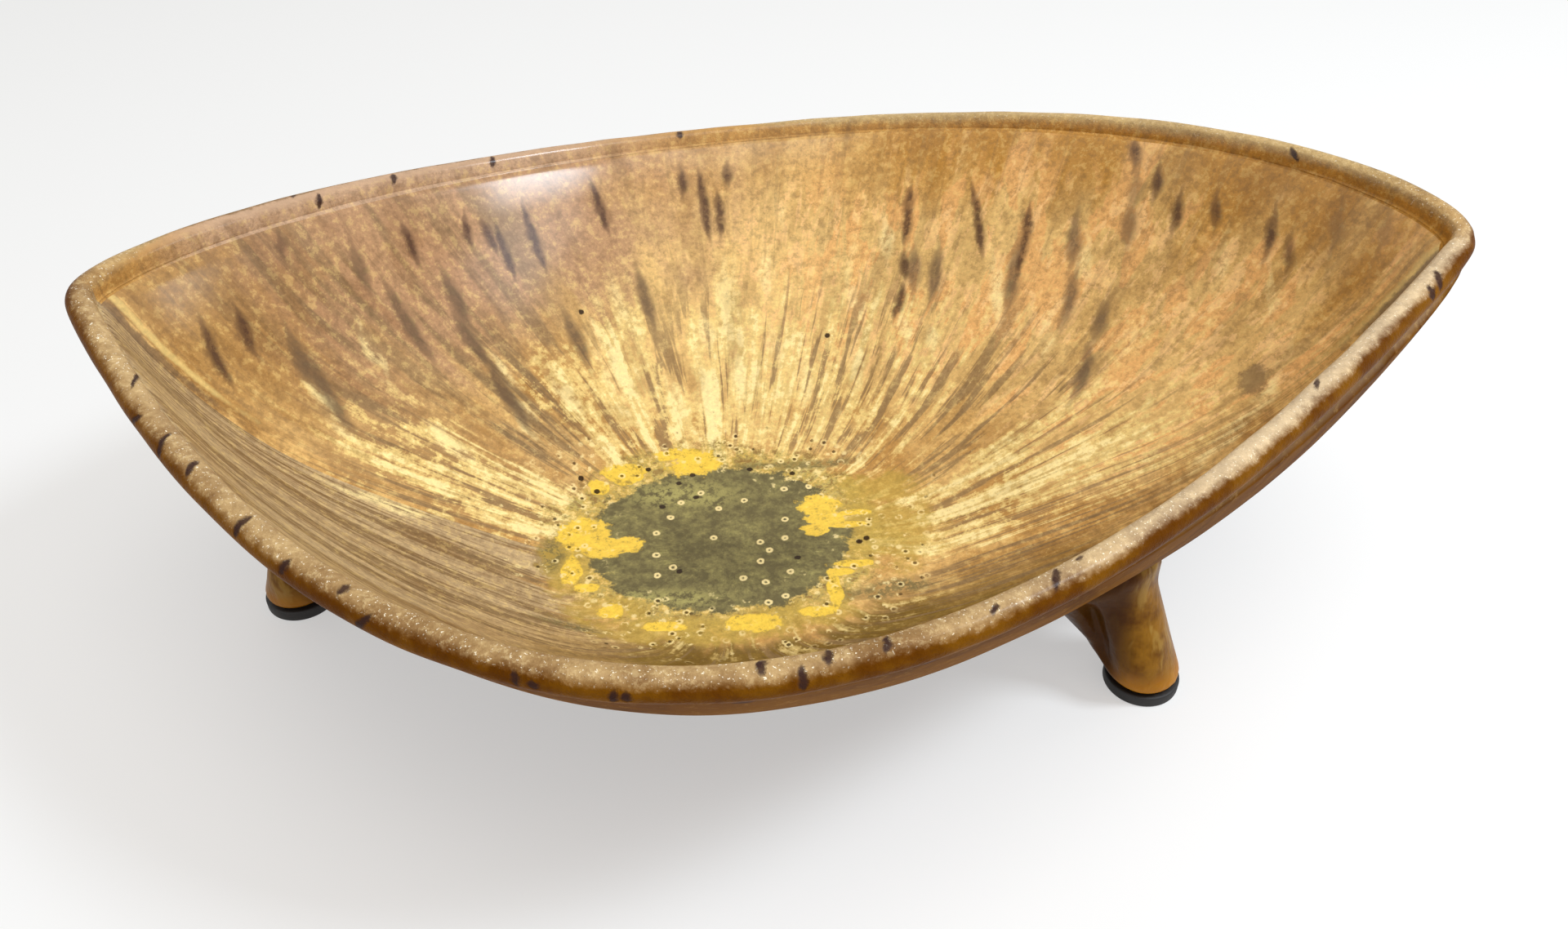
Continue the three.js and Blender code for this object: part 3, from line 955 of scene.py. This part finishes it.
print(f"{len(bubbles)} bubbles, {len(pits)} pits, {len(yellow_patches)} yellow patches")


# %% Ovals and dots
def oval(x, y, half_length, half_width):
    """How far out of an oval a place is: below 1 inside it, and above 1 outside."""
    offset = glaze.node("VectorMath", {"operation": "SUBTRACT"},
                        {0: place, 1: sight(shell_surface, x, y)})
    scaled = glaze.stretch(offset, 1 / half_length, 1 / half_width, 0)
    return glaze.node("VectorMath", {"operation": "LENGTH"}, {0: scaled}, output="Value")


def dot(x, y):
    """The distance from where a place in the photograph lies on the bowl."""
    return glaze.node("VectorMath", {"operation": "DISTANCE"},
                      {0: place, 1: sight(shell_surface, x, y)}, output="Value")


def smallest(distances):
    first, *others = distances
    for other in others:
        first = first.below(other)
    return first


ragged = (curds - 0.5) * 1.6 + (blots - 0.5) * 2.0


def patch_mask(patches, softness=0.1):
    reach = smallest([oval(x, y, a * mm, b * mm) for x, y, a, b in patches])
    return (reach + ragged * 0.8).ease(1 + softness, 1 - softness)


# %% The pool, its border and its patches
floor_only = climb.ease(0.3, 0.12) * inner
pool_reach = oval(*pool_middle, pool_half_length, pool_half_width)
pool = (pool_reach + ragged * 0.16).ease(1.03, 0.97) * floor_only
border = (pool_reach + ragged * 0.3).ease(1.42, 1.18) * floor_only
speckle = glaze.noise(place, 420, 4, 0.75)
green = glaze.mix((speckle * 0.55 + blots * 0.45).ease(0.42, 0.56), pool_dark, pool_green)
green = glaze.mix((speckle * 0.5 + blots * 0.5).ease(0.54, 0.66) * 0.5, green, pool_pale)
pale_bloom = patch_mask(pale_patches, 0.6) * speckle.ease(0.40, 0.56)
green = glaze.mix(pale_bloom * 0.8, green, pool_pale)
border_colour = glaze.mix(speckle.ease(0.40, 0.58), pool_pale, dull_yellow)
border_colour = glaze.mix(curds.ease(0.47, 0.40) * 0.7, border_colour, brown)
border_colour = glaze.mix(curds.ease(0.55, 0.62) * 0.7, border_colour, cream)
dark_streaks = patch_mask(dark_patches, 0.5) * floor_only * curds.ease(0.4, 0.52)

# Darker along the valley crease at each tip, and paler on the ridge beside it.
glaze.lay(patch_mask(tip_ridges, 0.5) * inner * 0.7, cream)
glaze.lay(patch_mask(tip_creases, 0.5) * inner * 0.8, stain)
glaze.lay(border * 0.8, border_colour)
glaze.lay(patch_mask(dull_patches, 0.3) * floor_only * 0.7, dull_yellow)
glaze.lay(dark_streaks * 0.8, pool_dark)
glaze.lay(pool, green)
glaze.lay(patch_mask(yellow_patches) * floor_only,
          glaze.mix(speckle.ease(0.32, 0.46), dull_yellow, yellow))
glaze.shade(mottle_of(curds, runs, grain))
print("with its pool:", len(glaze.tree.nodes), "nodes")

# %% Bubbles, pits and pinholes
bubble_reach = smallest([dot(x, y) for x, y in bubbles]) / mm + (curds - 0.5) * 1.2
bubble_rings = bubble_reach.band(0.15, 0.5, 0.8, 1.1)
pit_reach = smallest([dot(x, y) for x, y in pits]) / mm + (curds - 0.5) * 0.8
pit_dots = pit_reach.ease(0.95, 0.55)
cells = glaze.node("TexVoronoi", {"feature": "F1"}, {"Vector": place, "Scale": 340.0})
around_pool = (pool_reach + ragged * 0.5).band(0.85, 1.05, 1.45, 1.9) * climb.ease(0.5, 0.15)
around_pool = around_pool * inner
pinholes = cells.ease(0.2, 0.12) * around_pool * clouds.ease(0.47, 0.55)
foam = cells.band(0.16, 0.22, 0.28, 0.40) * around_pool * clouds.ease(0.42, 0.5)
ash_mask = (dot(*ash_spot) / mm + (curds - 0.5) * 5).ease(4.6, 2.6)

glaze.lay(foam * curds.ease(0.46, 0.52) * 0.7, pale_cream)
glaze.lay(bubble_rings * 0.9, pale_cream)
glaze.lay(pinholes * 0.8, pinhole)
glaze.lay(pit_dots * 0.95, pinhole)
glaze.lay(ash_mask * 0.7, dark_ash)
print("with bubbles and pits:", len(glaze.tree.nodes), "nodes")

# %% [markdown]
# ## The outer wall and the drips
# Outside, the glaze is thinner over the dark clay, so it looks amber, with brown clouds and a few
# long runs. Then the drips of iron go over the inner wall. A little noise on their turn makes them
# wander, and the faint ones are only a darker grey-brown stain.

# %% Outer wall, drips and surface
outer_colour = glaze.mix(strands.ease(0.38, 0.62), amber, light_amber)
outer_colour = glaze.mix(clouds.ease(0.5, 0.68) * 0.6, outer_colour, dark_amber)
outer_colour = glaze.mix(threads.ease(0.6, 0.7) * 0.4, outer_colour, dark_amber)
outer_colour = glaze.mix(curds.ease(0.55, 0.7) * 0.25, outer_colour, light_ochre)
glaze.lay(outside, outer_colour)
for x, y, radius in outer_spots:
    reach = dot(x, y) / (radius * mm) + (curds - 0.5) * 0.8
    glaze.lay(reach.ease(1.2, 0.7) * outside, iron)

wandering = turn + ((blots - 0.5) * 2.4 + (curds - 0.5) * 2.0) * mm / span
dark = marks_mask(glaze, wandering, climb, span, dark_marks,
                  lanes=5, half_width=1.6 * mm, soft_end=0.03, soft_side=0.7)
faint = marks_mask(glaze, wandering, climb, span, faint_marks,
                   lanes=4, half_width=2.2 * mm, soft_end=0.06)
curdled = curds.ease(0.35, 0.55) * 0.3
glaze.lay(faint * inner * (curdled + 0.55), faint_stain)
glaze.lay(dark * inner * (curdled + 0.6), iron)

relief = strands * 0.4 + threads * 0.3 + curds * 0.25 + grain * 0.05
relief = relief - pit_dots * 0.6 + bubble_rings * 0.2
done(shell, "bowl_body", glaze.finish(
    Roughness=0.45 + curds * 0.2 - pool * 0.15,
    IOR=1.15, Specular_IOR_Level=0.1,
    Coat_Weight=(climb.ease(0.88, 0.99) * 0.5 + pool * 0.2 + 0.1) * inner,
    Coat_Roughness=0.18,
    Normal=glaze.bump(relief, 0.4 * mm)))

# %% [markdown]
# ## The glaze of the rim
# The glaze ran off the top of the rim and left it dry, pale and speckled, and stayed thick and
# golden on the outer face. Towards the front right the dry top is painted whiter as a highlight,
# and painted white glints fleck it all round. On its inner face it takes the colours of the wall
# below it. The dark spots cross the rim from the inside to the outside.

# %% Colours and inputs of the rim's glaze
rim_mauve, spot_brown = paint(198, 162, 130), paint(60, 38, 32)
worn_tan, worn_pale, worn_straw = paint(156, 120, 76), paint(196, 162, 112), paint(206, 178, 122)
painted_highlight_white, glint = paint(236, 212, 176), paint(255, 242, 214)
pale_crumb, dark_crumb = paint(228, 202, 150), paint(132, 96, 50)

broken = Finish("broken_rim_glaze")
place, _, turn, way, span, runs, threads, curds, grain = shared_inputs(broken)
clouds = broken.noise(place, 90, 4, 0.6)
crumbs = broken.noise(place, 620, 4, 0.75)
sparkle = broken.noise(place, 1700, 2, 0.7)

worn = way + (clouds - 0.5) * 0.35 + (crumbs - 0.5) * 0.2
back_side = turn.band(0.5, 0.58, 0.93, 0.99)
back_left = turn.band(0.72, 0.78, 0.93, 0.99)
front_right = turn.band(0.26, 0.35, 0.47, 0.51)
dry = worn.ease(0.32, 0.60) * (worn + back_left * 0.45).ease(1.15, 0.85)
inner_face = worn.ease(0.75, 1.0)
print("inputs of the rim:", len(broken.tree.nodes), "nodes")

# %% Rim glaze
inner_tone = broken.mix(turn.ease(0.10, 0.2), ash, olive_brown)
inner_tone = broken.mix(turn.ease(0.42, 0.5), inner_tone, deep_gold)
inner_tone = broken.mix(turn.ease(0.64, 0.76), inner_tone, ochre)
inner_tone = broken.mix(turn.band(0.76, 0.83, 0.92, 0.97), inner_tone, rim_mauve)
dry_colour = broken.mix(clouds.ease(0.35, 0.65), worn_tan, worn_pale)
dry_colour = broken.mix(back_side * 0.7, dry_colour, worn_straw)

broken.colour = broken.mix(clouds.ease(0.38, 0.62), amber, light_amber)
broken.lay(worn.ease(0.55, 0.7), inner_tone)
broken.lay(dry * 0.85, dry_colour)
broken.lay(dry * crumbs.ease(0.52, 0.62) * 0.3, pale_crumb)
broken.lay(dry * crumbs.ease(0.47, 0.38) * 0.2, dark_crumb)
# Painted highlight: the dry top made whiter towards the front right.
broken.lay(dry * front_right * 0.55, painted_highlight_white)
# Painted glints: white specks over the dry top.
broken.lay(dry * sparkle.ease(0.62, 0.7) * (1 - back_side * 0.5), glint)
lay_fine_layers(broken, runs, threads, curds, curd_share=inner_face * 0.25,
                stain_share=inner_face, run_share=inner_face)
top_mottle = 0.62 + crumbs * 0.50 + clouds * 0.3
broken.shade(top_mottle * (1 - inner_face) + mottle_of(curds, runs, grain) * inner_face)
wandering = turn + ((clouds - 0.5) * 1.5 + (crumbs - 0.5) * 2.0) * mm / span
spots = marks_mask(broken, wandering, way, span, rim_marks,
                   lanes=4, half_width=1.0 * mm, soft_end=0.06, soft_side=0.5)
broken.lay(spots * (crumbs * 0.5 + 0.7), spot_brown)
done(rim, "rim_bead", broken.finish(
    Roughness=0.3 + dry * 0.14 + crumbs * 0.12,
    IOR=1.15, Specular_IOR_Level=0.15,
    Coat_Weight=way.ease(0.6, 0.9) * back_side * 0.5 + dry * 0.15,
    Coat_Roughness=0.2,
    Normal=broken.bump(crumbs * 0.7 + sparkle * 0.25 - spots * 0.3, 0.45 * mm)))

# %% [markdown]
# ## The glaze of the feet, and the pads' rubber
# The feet were dipped, so their glaze is thick, glossy and amber, more orange towards the bottom,
# where it gathered, and brown where it runs thin. The web behind each knob is painted dark brown as
# shade. The pads are plain black rubber with some dust.

# %% Foot glaze and rubber
foot_brown, foot_amber, foot_gold = paint(108, 66, 6), paint(144, 98, 24), paint(168, 130, 60)
foot_dark, foot_orange, painted_web_shade = paint(80, 42, 8), paint(190, 122, 20), paint(60, 28, 1)
black, dusty = paint(20, 17, 16), paint(58, 52, 48)

dipped = Finish("amber_foot_glaze")
place = dipped.place()
height = dipped.parts(place)[2]
clouds = dipped.noise(place, 80, 4, 0.65)
runs = dipped.noise(dipped.stretch(place, 1, 1, 0.25), 200, 3, 0.6)
dipped.colour = dipped.mix(clouds.ease(0.38, 0.58), foot_brown, foot_amber)
dipped.lay(runs.ease(0.5, 0.6) * 0.6, foot_gold)
dipped.lay(clouds.ease(0.44, 0.3) * 0.6, foot_dark)
dipped.lay((height / mm + (clouds - 0.5) * 14).ease(13, 5) * 0.7, foot_orange)
# Painted shade: the web behind the knob made dark brown.
dipped.lay(dipped.attribute("web", "Fac") * 0.9, painted_web_shade)
foot_material = dipped.finish(
    Roughness=0.3 + clouds * 0.1, IOR=1.15, Specular_IOR_Level=0.15,
    Coat_Weight=0.12, Coat_Roughness=0.1, Normal=dipped.bump(runs + clouds, 0.6 * mm))

rubber = Finish("black_rubber")
dust = rubber.noise(rubber.place(), 300, 4, 0.7)
rubber.colour = rubber.mix(dust.ease(0.5, 0.75) * 0.5, black, dusty)
pad_material = rubber.finish(Roughness=0.5 + dust * 0.25, Normal=rubber.bump(dust, 0.1 * mm))

for foot in feet:
    done(foot, foot.name.replace("pinched_", ""), foot_material)
for where, pad in pads.items():
    done(pad, f"pad_{where}", pad_material)
